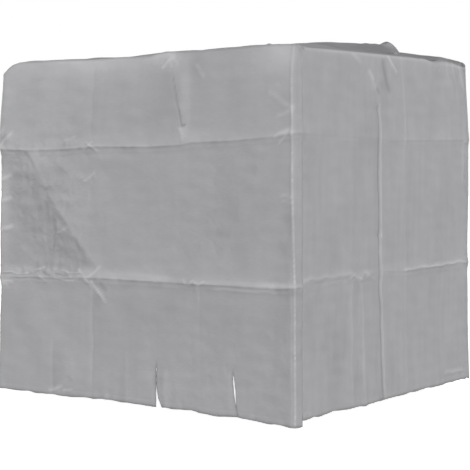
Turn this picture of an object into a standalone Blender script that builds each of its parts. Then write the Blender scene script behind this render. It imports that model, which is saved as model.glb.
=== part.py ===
# Fitted cover for a square 1000-litre water tank, standing as it does over its tank.
# Three cut panels, sewn edge to edge: one strip runs up the front, over the top and
# down the back, and an end panel closes each short side. Every panel is a closed sheet
# of coated cloth with the packing creases, dents and hem of the real cover.
# Frame: the front is at -Y, the seen end at +X, and the origin is under the middle of the top.
import bpy
import numpy as np

# Driving sizes, in metres
LENGTH = 1.218            # along X, the front
WIDTH = 1.080             # along Y, the ends
HEIGHT = 1.105            # top edge to hem
CLOTH = 0.002             # thickness of the coated cloth
SEAM_GAP = 0.0003         # between two panels at a seam
WRAP = 0.032              # the long strip reaches round each upright corner by this much
WRAP_FADE = 0.050         # it narrows to nothing over this height below the top edge
ROUND = np.array([0.022, 0.034, 0.014])   # how far each edge is rounded along X, Y and Z
TOP_RISE = 0.040          # the middle of the top above its edges
END_SLOPE = 0.24          # how far in from an end the top has risen fully
FRONT_SLOPE = 0.495       # the same from the front
BACK_SLOPE = 0.437        # and from the back
LEAN = 0.009              # how far the walls lean in at the top
LEAN_FROM = 0.27          # height below the top edge where the lean starts
FLARE = 0.006             # how far the hem stands out
FLARE_FROM = -0.80        # the walls are upright down to here

# Heights of the two packing creases that run right round the walls, from the top edge.
# Columns: place along the wall, upper crease, lower crease.
WALL_CREASES = {
    "front": [(-0.609, -0.297, -0.722), (-0.455, -0.301, -0.714), (-0.312, -0.299, -0.718),
              (-0.160, -0.291, -0.712), (0.059, -0.293, -0.712), (0.178, -0.288, -0.713),
              (0.224, -0.281, -0.712), (0.387, -0.277, -0.712), (0.533, -0.266, -0.714),
              (0.609, -0.256, -0.708)],
    "right": [(-0.540, -0.256, -0.708), (-0.235, -0.261, -0.697), (-0.085, -0.265, -0.684),
              (0.001, -0.272, -0.688), (0.088, -0.270, -0.693), (0.540, -0.262, -0.684)],
    "back": [(-0.609, -0.290, -0.716), (-0.150, -0.284, -0.706), (0.210, -0.276, -0.700),
             (0.609, -0.262, -0.684)],
    "left": [(-0.540, -0.297, -0.722), (0.060, -0.302, -0.709), (0.540, -0.290, -0.716)],
}
# How far each crease stands out along the wall. Columns: place, upper, lower.
CREASE_HEIGHTS = {
    "front": [(-0.600, 0.005, 0.007), (-0.440, 0.010, 0.008), (-0.230, 0.009, 0.004),
              (0.060, 0.010, 0.009), (0.190, 0.003, 0.005), (0.300, 0.007, 0.008), (0.600, 0.004, 0.005)],
    "right": [(-0.525, 0.004, 0.005), (-0.300, 0.006, 0.009), (-0.080, 0.002, 0.003),
              (0.090, 0.005, 0.008), (0.525, 0.004, 0.005)],
    "back": [(-0.600, 0.005, 0.006), (-0.150, 0.009, 0.004), (0.210, 0.004, 0.008), (0.600, 0.004, 0.005)],
    "left": [(-0.525, 0.005, 0.007), (0.060, 0.007, 0.003), (0.525, 0.005, 0.006)],
}
UPPER_SPREAD = (0.075, 0.030)     # width of the upper crease above and below its line
LOWER_SPREAD = (0.034, 0.080)     # the same for the lower crease
FOLD_SHARPNESS = 1.6              # 1 is a straight-sided fold, more is sharper at its line
CORNER_CREASE = 0.003             # how far both creases stand out at a seam
SEAM_FADE = 0.070                 # folds flatten over this distance from an upright seam
TOP_FOLD_FADE = 0.080             # and those of the top over this distance from its edges
WALL_FOLD_FADE = 0.045            # and those of a wall over this distance from the top edge

# Upright and slanting folds of each wall, and the folds of the top.
# Columns: start (along, height), end (along, height), rise out of the cloth,
# width on the low side, width on the high side, length over which the ends die out.
FOLDS = {
    "front": [
        ((-0.172, -0.100), (-0.178, -1.110), 0.0050, 0.045, 0.030, 0.060),
        ((0.190, 0.020), (0.186, -0.240), 0.0095, 0.050, 0.040, 0.050),
        ((0.256, -0.740), (0.262, -1.110), 0.0035, 0.040, 0.040, 0.050),
        ((-0.455, -0.303), (-0.163, -0.680), -0.0070, 0.120, 0.110, 0.080),
        ((-0.240, -0.685), (-0.133, -0.781), 0.0070, 0.026, 0.026, 0.030),
        ((-0.440, -0.680), (-0.370, -0.705), 0.0060, 0.024, 0.024, 0.025),
        ((-0.060, -0.470), (0.330, -0.560), -0.0060, 0.140, 0.150, 0.120),
        ((0.385, -0.330), (0.440, -0.660), 0.0060, 0.100, 0.120, 0.100),
        ((-0.500, -0.790), (-0.330, -1.000), 0.0060, 0.090, 0.100, 0.080),
        ((0.030, -0.800), (0.010, -1.080), 0.0050, 0.090, 0.060, 0.080),
        ((-0.330, -0.050), (-0.300, -0.250), -0.0050, 0.110, 0.100, 0.060),
        ((0.420, -0.030), (0.470, -0.230), 0.0050, 0.100, 0.090, 0.060),
    ],
    "right": [
        ((-0.096, 0.010), (-0.079, -0.175), -0.0105, 0.040, 0.030, 0.020),
        ((-0.079, -0.175), (-0.079, -0.570), -0.0105, 0.040, 0.030, 0.020),
        ((-0.079, -0.570), (-0.053, -1.110), -0.0090, 0.044, 0.032, 0.020),
        ((-0.240, -0.290), (-0.233, -1.110), 0.0045, 0.060, 0.050, 0.080),
        ((0.080, -0.060), (0.090, -1.110), 0.0055, 0.060, 0.050, 0.060),
        ((-0.440, -0.330), (-0.290, -0.640), -0.0055, 0.110, 0.100, 0.090),
        ((0.330, -0.300), (0.260, -0.640), 0.0055, 0.110, 0.120, 0.090),
        ((0.300, -0.740), (0.390, -1.050), -0.0055, 0.110, 0.100, 0.090),
        ((-0.330, -0.730), (-0.380, -1.040), 0.0050, 0.090, 0.090, 0.080),
        ((0.330, -0.050), (0.300, -0.220), -0.0045, 0.090, 0.100, 0.060),
    ],
    "back": [
        ((-0.150, 0.020), (-0.158, -1.110), 0.0060, 0.050, 0.035, 0.050),
        ((0.210, 0.020), (0.205, -0.690), -0.0075, 0.045, 0.035, 0.050),
        ((0.450, -0.330), (0.320, -0.650), 0.0060, 0.110, 0.110, 0.090),
        ((-0.480, -0.760), (-0.350, -1.040), 0.0055, 0.100, 0.100, 0.080),
        ((0.060, -0.330), (-0.020, -0.640), -0.0060, 0.120, 0.120, 0.090),
    ],
    "left": [
        ((0.060, 0.010), (0.048, -1.110), -0.0090, 0.040, 0.032, 0.030),
        ((-0.240, -0.290), (-0.230, -1.110), 0.0050, 0.060, 0.050, 0.080),
        ((0.330, -0.330), (0.260, -0.650), 0.0055, 0.100, 0.110, 0.090),
    ],
    "top": [
        ((-0.183, -0.500), (-0.160, 0.500), 0.0050, 0.050, 0.035, 0.060),
        ((0.176, -0.540), (0.200, 0.500), 0.0065, 0.050, 0.040, 0.060),
        ((-0.560, 0.020), (0.520, -0.075), -0.0070, 0.040, 0.050, 0.080),
        ((-0.420, 0.330), (0.100, 0.250), 0.0070, 0.080, 0.090, 0.100),
        ((-0.450, -0.330), (-0.050, -0.240), -0.0050, 0.090, 0.090, 0.100),
    ],
}
# Loose cloth standing up on the top, or dented where the rise is negative.
# Columns: centre x, centre y, rise, spread to -X, to +X, to -Y and to +Y.
MOUNDS = [
    (0.356, -0.004, 0.010, 0.180, 0.090, 0.115, 0.123),
    (0.430, 0.250, 0.027, 0.172, 0.050, 0.144, 0.018),
    (0.548, 0.295, -0.030, 0.081, 0.050, 0.060, 0.059),
    (0.480, 0.365, 0.024, 0.095, 0.120, 0.153, 0.150),
    (-0.200, -0.049, -0.030, 0.190, 0.125, 0.350, 0.350),
]
MOUND_CROWN = 1.25                # over 1, so a mound's crown is flat
MOUND_FOOT = 1.6                  # a mound ends this many spreads out
# The top edge of the front, which is not quite straight. Columns: place, height.
FRONT_EDGE = [
    (-0.600, -0.001), (-0.516, -0.002), (-0.437, -0.001), (-0.328, -0.002), (-0.181, -0.004),
    (-0.126, -0.003), (0.030, -0.005), (0.075, 0.003), (0.100, 0.007), (0.182, 0.004),
    (0.300, 0.005), (0.409, 0.009), (0.525, 0.011), (0.600, 0.008),
]
FRONT_EDGE_REACH = 0.12           # how far that reaches down the wall and over the top
# The front tips back towards its top edge: how far, from what height, and not at the left corner.
FRONT_TIP = 0.016
FRONT_TIP_FROM = -0.110
FRONT_TIP_FADE = 0.150
# Corners of the top that droop. Columns: x, y, drop, spread.
DROOPS = [
    (-0.600, -0.525, 0.036, 0.040),
    (-0.600, 0.525, 0.020, 0.080),
    (0.600, 0.525, -0.004, 0.090),
]
# The hem, which hangs unevenly. Columns: place along the wall, height of its edge.
HEMS = {
    "front": [(-0.600, -1.104), (-0.408, -1.104), (-0.327, -1.106), (-0.150, -1.100), (0.090, -1.104),
              (0.240, -1.104), (0.319, -1.110), (0.380, -1.106), (0.491, -1.114), (0.600, -1.118)],
    "right": [(-0.525, -1.098), (-0.440, -1.094), (-0.338, -1.090), (-0.165, -1.095), (-0.040, -1.091),
              (0.101, -1.089), (0.525, -1.087)],
    "back": [(-0.600, -1.104), (-0.150, -1.108), (0.210, -1.102), (0.600, -1.090)],
    "left": [(-0.525, -1.103), (0.060, -1.097), (0.525, -1.103)],
}
# Two slits up from the front hem, for reaching the tank's tap.
# Columns: x at the top, x at the hem, height of the top, width at the hem.
SLITS = [
    (0.083, 0.0955, -0.967, 0.021),
    (0.377, 0.3970, -0.970, 0.005),
]
SLIT_TOP_WIDTH = 0.0016           # a slit starts this wide
SLIT_LANE = 0.030                 # the two columns beside a slit stand this far apart
SLIT_LANE_FROM = 0.200            # above it, from this height over its top

# Grid stations: places where a panel has a column or a row, folds included
FRONT_COLUMNS = [-0.641, -0.622, -0.609, -0.600, -0.587, -0.550, -0.495, -0.430, -0.355, -0.285, -0.222,
                 -0.178, -0.140, -0.075, 0.010, 0.140, 0.187, 0.228, 0.258, 0.310, 0.445, 0.515, 0.567,
                 0.587, 0.600, 0.609, 0.622, 0.641]
COLUMN_FOLD = 0.580               # columns past this place close up where the strip is narrow
END_COLUMNS = [-0.540, -0.516, -0.470, -0.405, -0.335, -0.280, -0.238, -0.170, -0.115, -0.079, -0.046,
               0.010, 0.085, 0.160, 0.216, 0.250, 0.266, 0.282, 0.330, 0.395, 0.455, 0.512, 0.540]
END_FOLD = 0.440                  # the same for the columns of an end
WALL_ROWS = [0.000, -0.012, -0.034, -0.090, -0.165, -0.235, -0.268, -0.290, -0.312, -0.360, -0.450,
             -0.550, -0.640, -0.688, -0.712, -0.738, -0.800, -0.890, -0.967, -1.035, -1.105]
TOP_ROWS = END_COLUMNS[1:-1]      # the top's rows meet the ends' columns at their seams
UPPER_ROW = -0.290                # the row that follows the upper crease
LOWER_ROW = -0.712                # the row that follows the lower one
SLIT_TOP_ROW = -0.967             # the row where the slits end

# The same grey coated cloth on all panels: colour, roughness, metallic
CLOTH_FINISH = ((0.36, 0.36, 0.365, 1.0), 0.62, 0.0)


def clear_scene():
    for item in list(bpy.data.objects):
        bpy.data.objects.remove(item, do_unlink=True)


def cloth_material(name):
    colour, roughness, metallic = CLOTH_FINISH
    material = bpy.data.materials.new(name)
    material.use_nodes = True
    shader = material.node_tree.nodes["Principled BSDF"]
    shader.inputs["Base Color"].default_value = colour
    shader.inputs["Roughness"].default_value = roughness
    shader.inputs["Metallic"].default_value = metallic
    return material


def ease(t):
    """0 below 0, 1 above 1, and a smooth step between."""
    t = np.clip(t, 0.0, 1.0)
    return t * t * (3.0 - 2.0 * t)


def column(table, place, index):
    """Straight lines between a table's rows, read at each place."""
    rows = np.array(table)
    return np.interp(place, rows[:, 0], rows[:, index])


def crease(distance, low, high):
    """1 on the fold's line, falling to 0 over one width on each side, sharpest at the line."""
    reach = np.where(distance < 0.0, low, high)
    return np.clip(1.0 - np.abs(distance) / reach, 0.0, 1.0) ** FOLD_SHARPNESS


def fold_relief(wall, along, height):
    """Sum of a wall's upright and slanting folds: rise times distance profile times end fade."""
    total = np.zeros_like(along)
    for start, end, rise, low, high, fade in FOLDS[wall]:
        start, end = np.array(start), np.array(end)
        length = np.linalg.norm(end - start)
        run = (end - start) / length
        if abs(run[1]) > abs(run[0]):
            across = np.array([abs(run[1]), -run[0] * np.sign(run[1])])
        else:
            across = np.array([-run[1] * np.sign(run[0]), abs(run[0])])
        du, dv = along - start[0], height - start[1]
        travelled = du * run[0] + dv * run[1]
        ends = ease(travelled / fade + 1.0) * ease((length - travelled) / fade + 1.0)
        total += rise * crease(du * across[0] + dv * across[1], low, high) * ends
    return total


def wall_relief(wall, half, along, height):
    """The two long creases and the folds of a wall, fading to the corner's own crease at its seams."""
    upper = height - column(WALL_CREASES[wall], along, 1)
    lower = height - column(WALL_CREASES[wall], along, 2)
    upper_line = crease(upper, UPPER_SPREAD[1], UPPER_SPREAD[0])
    lower_line = crease(lower, LOWER_SPREAD[1], LOWER_SPREAD[0])
    inside = (column(CREASE_HEIGHTS[wall], along, 1) * upper_line
              + column(CREASE_HEIGHTS[wall], along, 2) * lower_line
              + fold_relief(wall, along, height))
    at_corner = CORNER_CREASE * (upper_line + lower_line)
    inward = ease((half - np.abs(along)) / SEAM_FADE)
    return at_corner + (inside - at_corner) * inward


def rounded_box(point):
    """A point of the sharp box moved to the rounded box, and the way out from it there.
    The nearest point of an inner box, plus the rounding times the unit step away from it."""
    inner = np.array([LENGTH / 2, WIDTH / 2, 0.0]) - ROUND
    low = np.array([-inner[0], -inner[1], -2.0 * HEIGHT])
    centre = np.clip(point, low, inner)
    step = (point - centre) / ROUND
    step /= np.linalg.norm(step, axis=-1, keepdims=True)
    out = step / ROUND
    out /= np.linalg.norm(out, axis=-1, keepdims=True)
    return centre + ROUND * step, out


def settle(point):
    """How the whole cover stands: walls lean in at the top, the hem stands out, the top
    bulges up, the front edge sags and the free corners droop."""
    x, y, z = (point[..., i].copy() for i in range(3))
    upward = ease((z + LEAN_FROM) / LEAN_FROM)
    downward = ease((FLARE_FROM - z) / (FLARE_FROM + HEIGHT))
    shift = FLARE * downward - LEAN * upward
    x_moved = x * (1.0 + shift / (LENGTH / 2))
    y_moved = y * (1.0 + shift / (WIDTH / 2))
    near_top = ease((z + FRONT_EDGE_REACH) / FRONT_EDGE_REACH)
    rise = (TOP_RISE * ease((LENGTH / 2 - np.abs(x)) / END_SLOPE)
            * ease((WIDTH / 2 + y) / FRONT_SLOPE) * ease((WIDTH / 2 - y) / BACK_SLOPE))
    for cx, cy, height, left, right, front, back in MOUNDS:
        u = (x - cx) / np.where(x < cx, left, right)
        v = (y - cy) / np.where(y < cy, front, back)
        rise += height * ease(MOUND_CROWN * (1.0 - np.sqrt(u * u + v * v) / MOUND_FOOT))
    from_front = ease(1.0 - (y + WIDTH / 2) / FRONT_EDGE_REACH)
    sag = column(FRONT_EDGE, x, 1) * from_front
    for cx, cy, drop, spread in DROOPS:
        sag -= drop * np.exp(-((x - cx) ** 2 + (y - cy) ** 2) / spread ** 2)
    z_moved = z + near_top * (rise + sag) - TOP_RISE - CLOTH
    tipped = np.clip((z - FRONT_TIP_FROM) / -FRONT_TIP_FROM, 0.0, 1.0) ** 2
    y_moved += FRONT_TIP * tipped * from_front * ease((x + LENGTH / 2) / FRONT_TIP_FADE)
    return np.stack([x_moved, y_moved, z_moved], axis=-1)


def wall_heights(wall, along, rows):
    """Rows that follow the two creases and end on the hem."""
    upper = column(WALL_CREASES[wall], along, 1)
    lower = column(WALL_CREASES[wall], along, 2)
    hem = column(HEMS[wall], along, 1)
    heights = np.zeros((len(rows), len(along)))
    for i, row in enumerate(rows):
        if row > UPPER_ROW:
            heights[i] = upper * row / UPPER_ROW
        elif row > LOWER_ROW:
            t = (row - UPPER_ROW) / (LOWER_ROW - UPPER_ROW)
            heights[i] = upper + (lower - upper) * t
        else:
            t = (row - LOWER_ROW) / (-HEIGHT - LOWER_ROW)
            heights[i] = lower + (hem - lower) * t
    return heights


def sheet_body(name, box_points, relief, gone):
    """One closed sheet: the outer grid, the same grid one cloth thickness in, and a rim.
    box_points is rows x columns x 3 on the sharp box, gone marks the cells of a slit."""
    surface, out = rounded_box(box_points)
    outer = settle(surface + out * relief[..., None])
    inner = settle(surface + out * (relief[..., None] - CLOTH))
    rows, columns = relief.shape
    number = np.arange(rows * columns).reshape(rows, columns)
    present = ~gone
    faces = []
    for i in range(rows - 1):
        for j in range(columns - 1):
            if not present[i, j]:
                continue
            a, b, c, d = number[i, j], number[i, j + 1], number[i + 1, j + 1], number[i + 1, j]
            faces.append((a, b, c, d))
            faces.append(tuple(k + rows * columns for k in (d, c, b, a)))
            edges = (((a, b), i > 0 and present[i - 1, j]),
                     ((b, c), j < columns - 2 and present[i, j + 1]),
                     ((c, d), i < rows - 2 and present[i + 1, j]),
                     ((d, a), j > 0 and present[i, j - 1]))
            for (p, q), shared in edges:
                if not shared:
                    faces.append((q, p, p + rows * columns, q + rows * columns))
    points = np.concatenate([outer.reshape(-1, 3), inner.reshape(-1, 3)])
    used = np.unique(np.array([k for face in faces for k in face]))
    renumber = {old: new for new, old in enumerate(used)}
    mesh = bpy.data.meshes.new(name)
    mesh.from_pydata([tuple(points[k]) for k in used], [],
                     [tuple(renumber[k] for k in face) for face in faces])
    mesh.update()
    mesh.materials.append(cloth_material(name + "_cloth"))
    body = bpy.data.objects.new(name, mesh)
    bpy.context.collection.objects.link(body)
    return body


def slit_sides(height, slit):
    """Left and right side of a slit at each height, spreading into a lane of cloth above it."""
    top_x, hem_x, top, hem_width = slit
    down = np.maximum((top - height) / (top + HEIGHT), 0.0)
    above = ease((height - top) / SLIT_LANE_FROM)
    middle = top_x + (hem_x - top_x) * down
    width = SLIT_TOP_WIDTH + (hem_width - SLIT_TOP_WIDTH) * down + (SLIT_LANE - SLIT_TOP_WIDTH) * above
    return middle - width / 2, middle + width / 2


def wrap_width(height):
    """How far the strip reaches round a corner at each height of a wall."""
    return WRAP * ease(-height / WRAP_FADE)


def close_up(places, fold, widest, half):
    """Columns past the fold, drawn together so that the outermost lies on the panel's edge."""
    beyond = np.maximum(np.abs(places) - fold, 0.0) / (widest - fold)
    inner = np.minimum(np.abs(places), fold)
    return np.sign(places) * (inner + beyond * (half - fold))


def strip_wall(side, x, height):
    """Points of a wall of the strip. Past the corner's edge they turn round onto the end's wall."""
    past = np.maximum(np.abs(x) - LENGTH / 2, 0.0)
    return np.stack([np.clip(x, -LENGTH / 2, LENGTH / 2), side * (WIDTH / 2 - past), height], axis=-1)


def make_body_panel():
    """Front, top and back in one strip, its long edges on the seams of the ends."""
    widest = LENGTH / 2 + WRAP
    slit_columns = [slit[0] for slit in SLITS]
    columns = np.array(sorted(FRONT_COLUMNS + slit_columns + slit_columns))
    rows = np.array(WALL_ROWS[::-1])
    front_z = wall_heights("front", columns, rows)
    back_z = wall_heights("back", columns, WALL_ROWS)
    front_half = LENGTH / 2 + wrap_width(front_z) - SEAM_GAP
    back_half = LENGTH / 2 + wrap_width(back_z) - SEAM_GAP
    front_x = close_up(columns, COLUMN_FOLD, widest, front_half)
    back_x = close_up(columns, COLUMN_FOLD, widest, back_half)
    gone = np.zeros((len(rows) * 2 + len(TOP_ROWS) - 1, len(columns) - 1), dtype=bool)
    for slit in SLITS:
        left = int(np.searchsorted(columns, slit[0]))
        front_x[:, left], front_x[:, left + 1] = slit_sides(front_z[:, left], slit)
        back_x[:, left] -= SLIT_LANE / 2
        back_x[:, left + 1] += SLIT_LANE / 2
        gone[:len(rows) - 1, left] = rows[1:] <= SLIT_TOP_ROW
    top_x = np.tile(front_x[-1], (len(TOP_ROWS), 1))
    top_y = np.tile(np.array(TOP_ROWS)[:, None], (1, len(columns)))
    front = strip_wall(-1, front_x, front_z)
    top = np.stack([top_x, top_y, np.zeros_like(top_x)], axis=-1)
    back = strip_wall(1, back_x, back_z)
    top_relief = (fold_relief("top", top_x, top_y)
                  * ease((LENGTH / 2 - np.abs(top_x)) / TOP_FOLD_FADE)
                  * ease((WIDTH / 2 - np.abs(top_y)) / TOP_FOLD_FADE))
    relief = np.concatenate([
        wall_relief("front", front_half, front_x, front_z) * top_fade(front_z),
        top_relief,
        wall_relief("back", back_half, back_x, back_z) * top_fade(back_z)])
    return sheet_body("body_panel", np.concatenate([front, top, back]), relief, gone)


def top_fade(height):
    """A wall's folds die out at the rounded top edge."""
    return ease(-height / WALL_FOLD_FADE)


def make_end_panel(name, wall, side):
    """One end of the cover: a wall with a seam up both sides and along the top."""
    heights = wall_heights(wall, np.array(END_COLUMNS), WALL_ROWS)
    heights[0] = -SEAM_GAP
    half = WIDTH / 2 - wrap_width(heights) - SEAM_GAP
    y = close_up(np.array(END_COLUMNS), END_FOLD, WIDTH / 2, half)
    points = np.stack([np.full_like(y, side * LENGTH / 2), y, heights], axis=-1)
    relief = wall_relief(wall, half, y, heights) * top_fade(heights)
    gone = np.zeros((len(WALL_ROWS) - 1, len(END_COLUMNS) - 1), dtype=bool)
    return sheet_body(name, points[::-1, ::side], relief[::-1, ::side], gone)


clear_scene()
make_body_panel()
make_end_panel("right_end_panel", "right", 1)
make_end_panel("left_end_panel", "left", -1)
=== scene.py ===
# %% [markdown]
# A fitted cover for a box-shaped water tank, standing as it does over its tank.
# The real one is thin coated polyester in three panels: one strip runs up the front, over the top
# and down the back, and an end panel closes each short side. It lay folded in a packet, so sharp
# creases run right round it, and it is a little loose, so the parts between them dent and ripple.
# The frame's solids have that shape already. Here each panel becomes a fine sheet on the same
# folds, with the small creases and the seams added.

# %% The frame
import math

import bpy
import numpy as np
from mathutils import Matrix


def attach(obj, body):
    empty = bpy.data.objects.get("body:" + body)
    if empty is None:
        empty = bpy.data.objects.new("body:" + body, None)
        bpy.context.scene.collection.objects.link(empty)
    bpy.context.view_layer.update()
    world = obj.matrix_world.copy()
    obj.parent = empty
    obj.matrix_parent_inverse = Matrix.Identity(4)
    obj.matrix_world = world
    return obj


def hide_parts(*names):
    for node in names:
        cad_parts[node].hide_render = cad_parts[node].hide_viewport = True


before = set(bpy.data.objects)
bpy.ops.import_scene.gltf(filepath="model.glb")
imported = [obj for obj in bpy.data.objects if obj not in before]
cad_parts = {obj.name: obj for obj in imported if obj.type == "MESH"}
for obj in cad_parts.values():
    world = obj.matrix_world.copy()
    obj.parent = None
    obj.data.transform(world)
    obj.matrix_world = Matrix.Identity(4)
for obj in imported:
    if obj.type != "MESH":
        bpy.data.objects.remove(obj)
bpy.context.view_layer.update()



def add(name, data):
    """A new object in the scene."""
    made = bpy.data.objects.new(name, data)
    bpy.context.collection.objects.link(made)
    return made


# %% [markdown]
# The driving sizes come first, the ones that the cover's pattern would give: how long, wide and
# tall the box is, how tightly its edges are rounded, and how far the loose top bulges.
# The camera comes with them, so that a change shows at once against the photograph. Its place was
# found from the box's own corners: a long lens sits low and a little right of the near corner, so
# both walls show and the top is only a thin dark band behind the right one.

# %% Sizes of the cover
LENGTH = 1.218  # along X, the front
WIDTH = 1.080  # along Y, the ends
HEIGHT = 1.105  # top edge to hem
ROUND = np.array([0.022, 0.034, 0.014])  # how far each edge is rounded along X, Y and Z
WRAP, WRAP_FADE = 0.032, 0.050  # the long strip reaches round each upright corner by this
TOP_RISE = 0.040  # the middle of the top above its edges
EDGE_Z = -(TOP_RISE + 0.002)  # height of the top edges in the frame
CLOTH = 0.0011  # thickness of the sheets
SEAM_GAP = 0.0003  # between two panels at a seam
GROUND_Z = -1.168  # what the tank stands on

# %% The camera
PHOTO_SIDE = 470.0  # pixels along each side of the photograph
FOCAL_PIXELS = 1541.0  # focal length, counted in those pixels
SENSOR_MM = 36.0
CAMERA_PLACE = (3.120, -4.252, -0.3916)
CAMERA_TURN = math.radians(36.36)  # from looking along +Y, towards -X
CAMERA_DIP = math.radians(2.60)

camera_data = bpy.data.cameras.new("camera")
camera_data.sensor_width = SENSOR_MM
camera_data.lens = FOCAL_PIXELS * SENSOR_MM / PHOTO_SIDE
camera_data.clip_end = 60.0
camera = add("camera", camera_data)
camera.location = CAMERA_PLACE
camera.rotation_euler = (math.pi / 2 - CAMERA_DIP, 0.0, CAMERA_TURN)
bpy.context.scene.camera = camera
print(f"lens {camera_data.lens:.1f} mm")

# %% [markdown]
# Every shape below is built from a few small curves. `ease` is a soft step, `read` looks a value up
# in a table, and `fold_line` is the cross-section of a crease, with a width for each side, so that
# one side can be steep and the other gentle, as on a crease pressed flat and sprung open again.
# Cloth is never quite even, so a smooth random field is needed too. A sum of plane waves in random
# directions can be read at any point, and a fixed seed keeps it the same.

# %% Small curves
def ease(t):
    """0 below 0, 1 above 1, and 3t^2 - 2t^3 between."""
    t = np.clip(t, 0.0, 1.0)
    return t * t * (3.0 - 2.0 * t)


def read(table, place, index=1):
    """Straight lines between a table's rows."""
    rows = np.array(table)
    return np.interp(place, rows[:, 0], rows[:, index])


def tables(text, lengths=9):
    """Rows under each wall's name, parted by commas and line ends. The first `lengths` numbers of
    a row are millimetres, and are turned into metres here."""
    found = {}
    for row in text.replace("\n", ",").split(","):
        words = row.split()
        if words and words[0].isalpha():
            rows = found[words.pop(0)] = []
        if words:
            numbers = [float(word) for word in words]
            rows.append([round(n / 1000, 6) for n in numbers[:lengths]] + numbers[lengths:])
    return found


def bell(distance, width):
    """e^(-(distance / width)^2): 1 at no distance, and 0.37 at the width."""
    return np.exp(-(distance / width) ** 2)


def fold_line(distance, low, high, sharpness=1.6):
    """(1 - |distance| / width) to the power of the sharpness, with a width for each side."""
    reach = np.where(distance < 0.0, low, high)
    return np.clip(1.0 - np.abs(distance) / reach, 0.0, 1.0) ** sharpness


def swell(distance, low, high):
    """ease(1 - |distance| / width): a soft ridge, rounded at its top and its foot."""
    return ease(1.0 - np.abs(distance) / np.where(distance < 0.0, low, high))


def plane_change(distance, near, far):
    """0 at the line, falling at once at its steepest to -1 at `near`, then back to 0 over `far`:
    -sin(pi/2 d / near), then -(1 - ease((d - near) / far)). It has an edge on one side only."""
    fall = -np.sin(0.5 * math.pi * np.clip(distance / near, 0.0, 1.0))
    return np.where(distance < near, fall, -(1.0 - ease((distance - near) / far)))


def ripple(a, b, wavelength, seed, waves=14):
    """Smooth random field of about unit height: the mean of cosines of (a, b) along random
    directions, each with a wavelength within a third of the one asked for."""
    random = np.random.default_rng(seed)
    total = np.zeros_like(a)
    turns, stretches = random.uniform(0, math.pi, waves), random.uniform(0.7, 1.4, waves)
    for turn, stretch, start in zip(turns, stretches, random.uniform(0, 2 * math.pi, waves)):
        step = 2 * math.pi / (wavelength * stretch)
        total += np.cos(step * (a * math.cos(turn) + b * math.sin(turn)) + start)
    return total * math.sqrt(2.0 / waves)


# %% [markdown]
# The folds are the subject, so they are written down as a maker would note them on the pattern.
# A place on a wall is how far along it, from its middle, and how far below the top edge (negative),
# in millimetres. The two walls that show were read off the photograph, and the two that don't are
# finished in the same manner.
# First come the two packing creases that run round all four walls, then the broad folds that give
# each wall its planes, and last the small sharp creases and crumples.

# %% The two creases that run round the walls
# Columns: place along the wall, height of the upper crease, height of the lower crease.
WALL_CREASES = tables("""
front
-609 -297 -727, -455 -301 -720, -312 -299 -718, -160 -291 -712, 59 -293 -712, 178 -288 -713
224 -281 -712, 387 -277 -712, 533 -266 -714, 609 -256 -708
right
-540 -256 -708, -235 -261 -697, -85 -265 -684, 1 -272 -688, 88 -270 -693, 540 -262 -684
back
-609 -290 -716, -150 -284 -706, 210 -276 -700, 609 -262 -684
left
-540 -297 -722, 60 -302 -709, 540 -290 -716
""")
# Columns: place along the wall, how far the upper and the lower crease stand out.
CREASE_HEIGHTS = tables("""
front
-609 4.5 5.5, -440 6 6, -230 5 2.5, -130 6.5 6, 60 6.5 6, 190 3.5 4, 300 5 5.5, 609 3 4
right
-540 1.2 1, -420 1 -2.2, -200 1 -1.6, -80 0.8 0.6, 90 1.6 1.8, 540 2.6 2.6
back
-609 4 4.5, -150 6 2.5, 210 2.5 5.5, 609 3 3.5
left
-540 4 5, 60 5 2, 540 3.5 4
""")
UPPER_SPREAD = (0.060, 0.027)  # width of the upper crease above and below its line
LOWER_SPREAD = (0.034, 0.031)  # the same for the lower crease
SECOND_LINE = (0.014, 0.005)  # a pressed second line this far below, and its half width
SECOND_RISE = 0.0008
CORNER_CREASE = 0.0020  # how far both creases stand out at a seam
SEAM_FADE = 0.050  # folds flatten over this distance from an upright seam

# %% The broad folds
# Columns: start along, start height, end along, end height, rise out of the cloth, width on the
# low side, width on the high side, length over which the ends die out.
FOLDS = tables("""
front
-168 -60 -174 -300 1.6 60 40 60, -180 -735 -178 -1110 1.8 40 24 40, 164 20 188 -230 2.8 50 36 50
256 -740 262 -1110 1.8 40 30 50, -60 -470 330 -560 -4 140 150 120
385 -330 440 -660 4.5 100 120 100, -500 -790 -330 -1000 4.5 90 100 80
30 -800 10 -1080 3.5 90 60 80, -330 -50 -300 -250 -4 110 100 60, 50 -60 80 -240 -4 100 80 60
420 -30 470 -230 4 100 90 60
right
-94 -90 -77 -175 -2.2 46 30 30, -77 -175 -77 -570 -2.2 46 26 20, -77 -570 -51 -1110 -2.2 46 28 20
-240 -290 -233 -1110 2.4 60 40 80, 80 -30 90 -1110 1.4 60 50 60, -440 -330 -290 -640 -4 110 100 90
330 -300 260 -640 4 110 120 90, 300 -740 390 -1050 -4 110 100 90
-330 -730 -380 -1040 3.6 90 90 80, 330 -50 300 -220 -3.5 90 100 60
back
-150 20 -158 -1110 4 45 28 50, 210 20 205 -690 -4.5 40 30 50, 450 -330 320 -650 4.5 110 110 90
-480 -760 -350 -1040 4 100 100 80, 60 -330 -20 -640 -4.5 120 120 90
left
60 10 48 -1110 -5 40 32 30, -240 -290 -230 -1110 3 50 40 80, 330 -330 260 -650 4.5 100 110 90
top
-172 -500 -160 500 3.5 40 25 60, 190 -540 200 500 5 45 30 60, -560 20 520 -79 -4.5 36 40 80
-420 330 100 250 6 80 90 100, -450 -330 -50 -240 -4.5 90 90 100
""")
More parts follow.
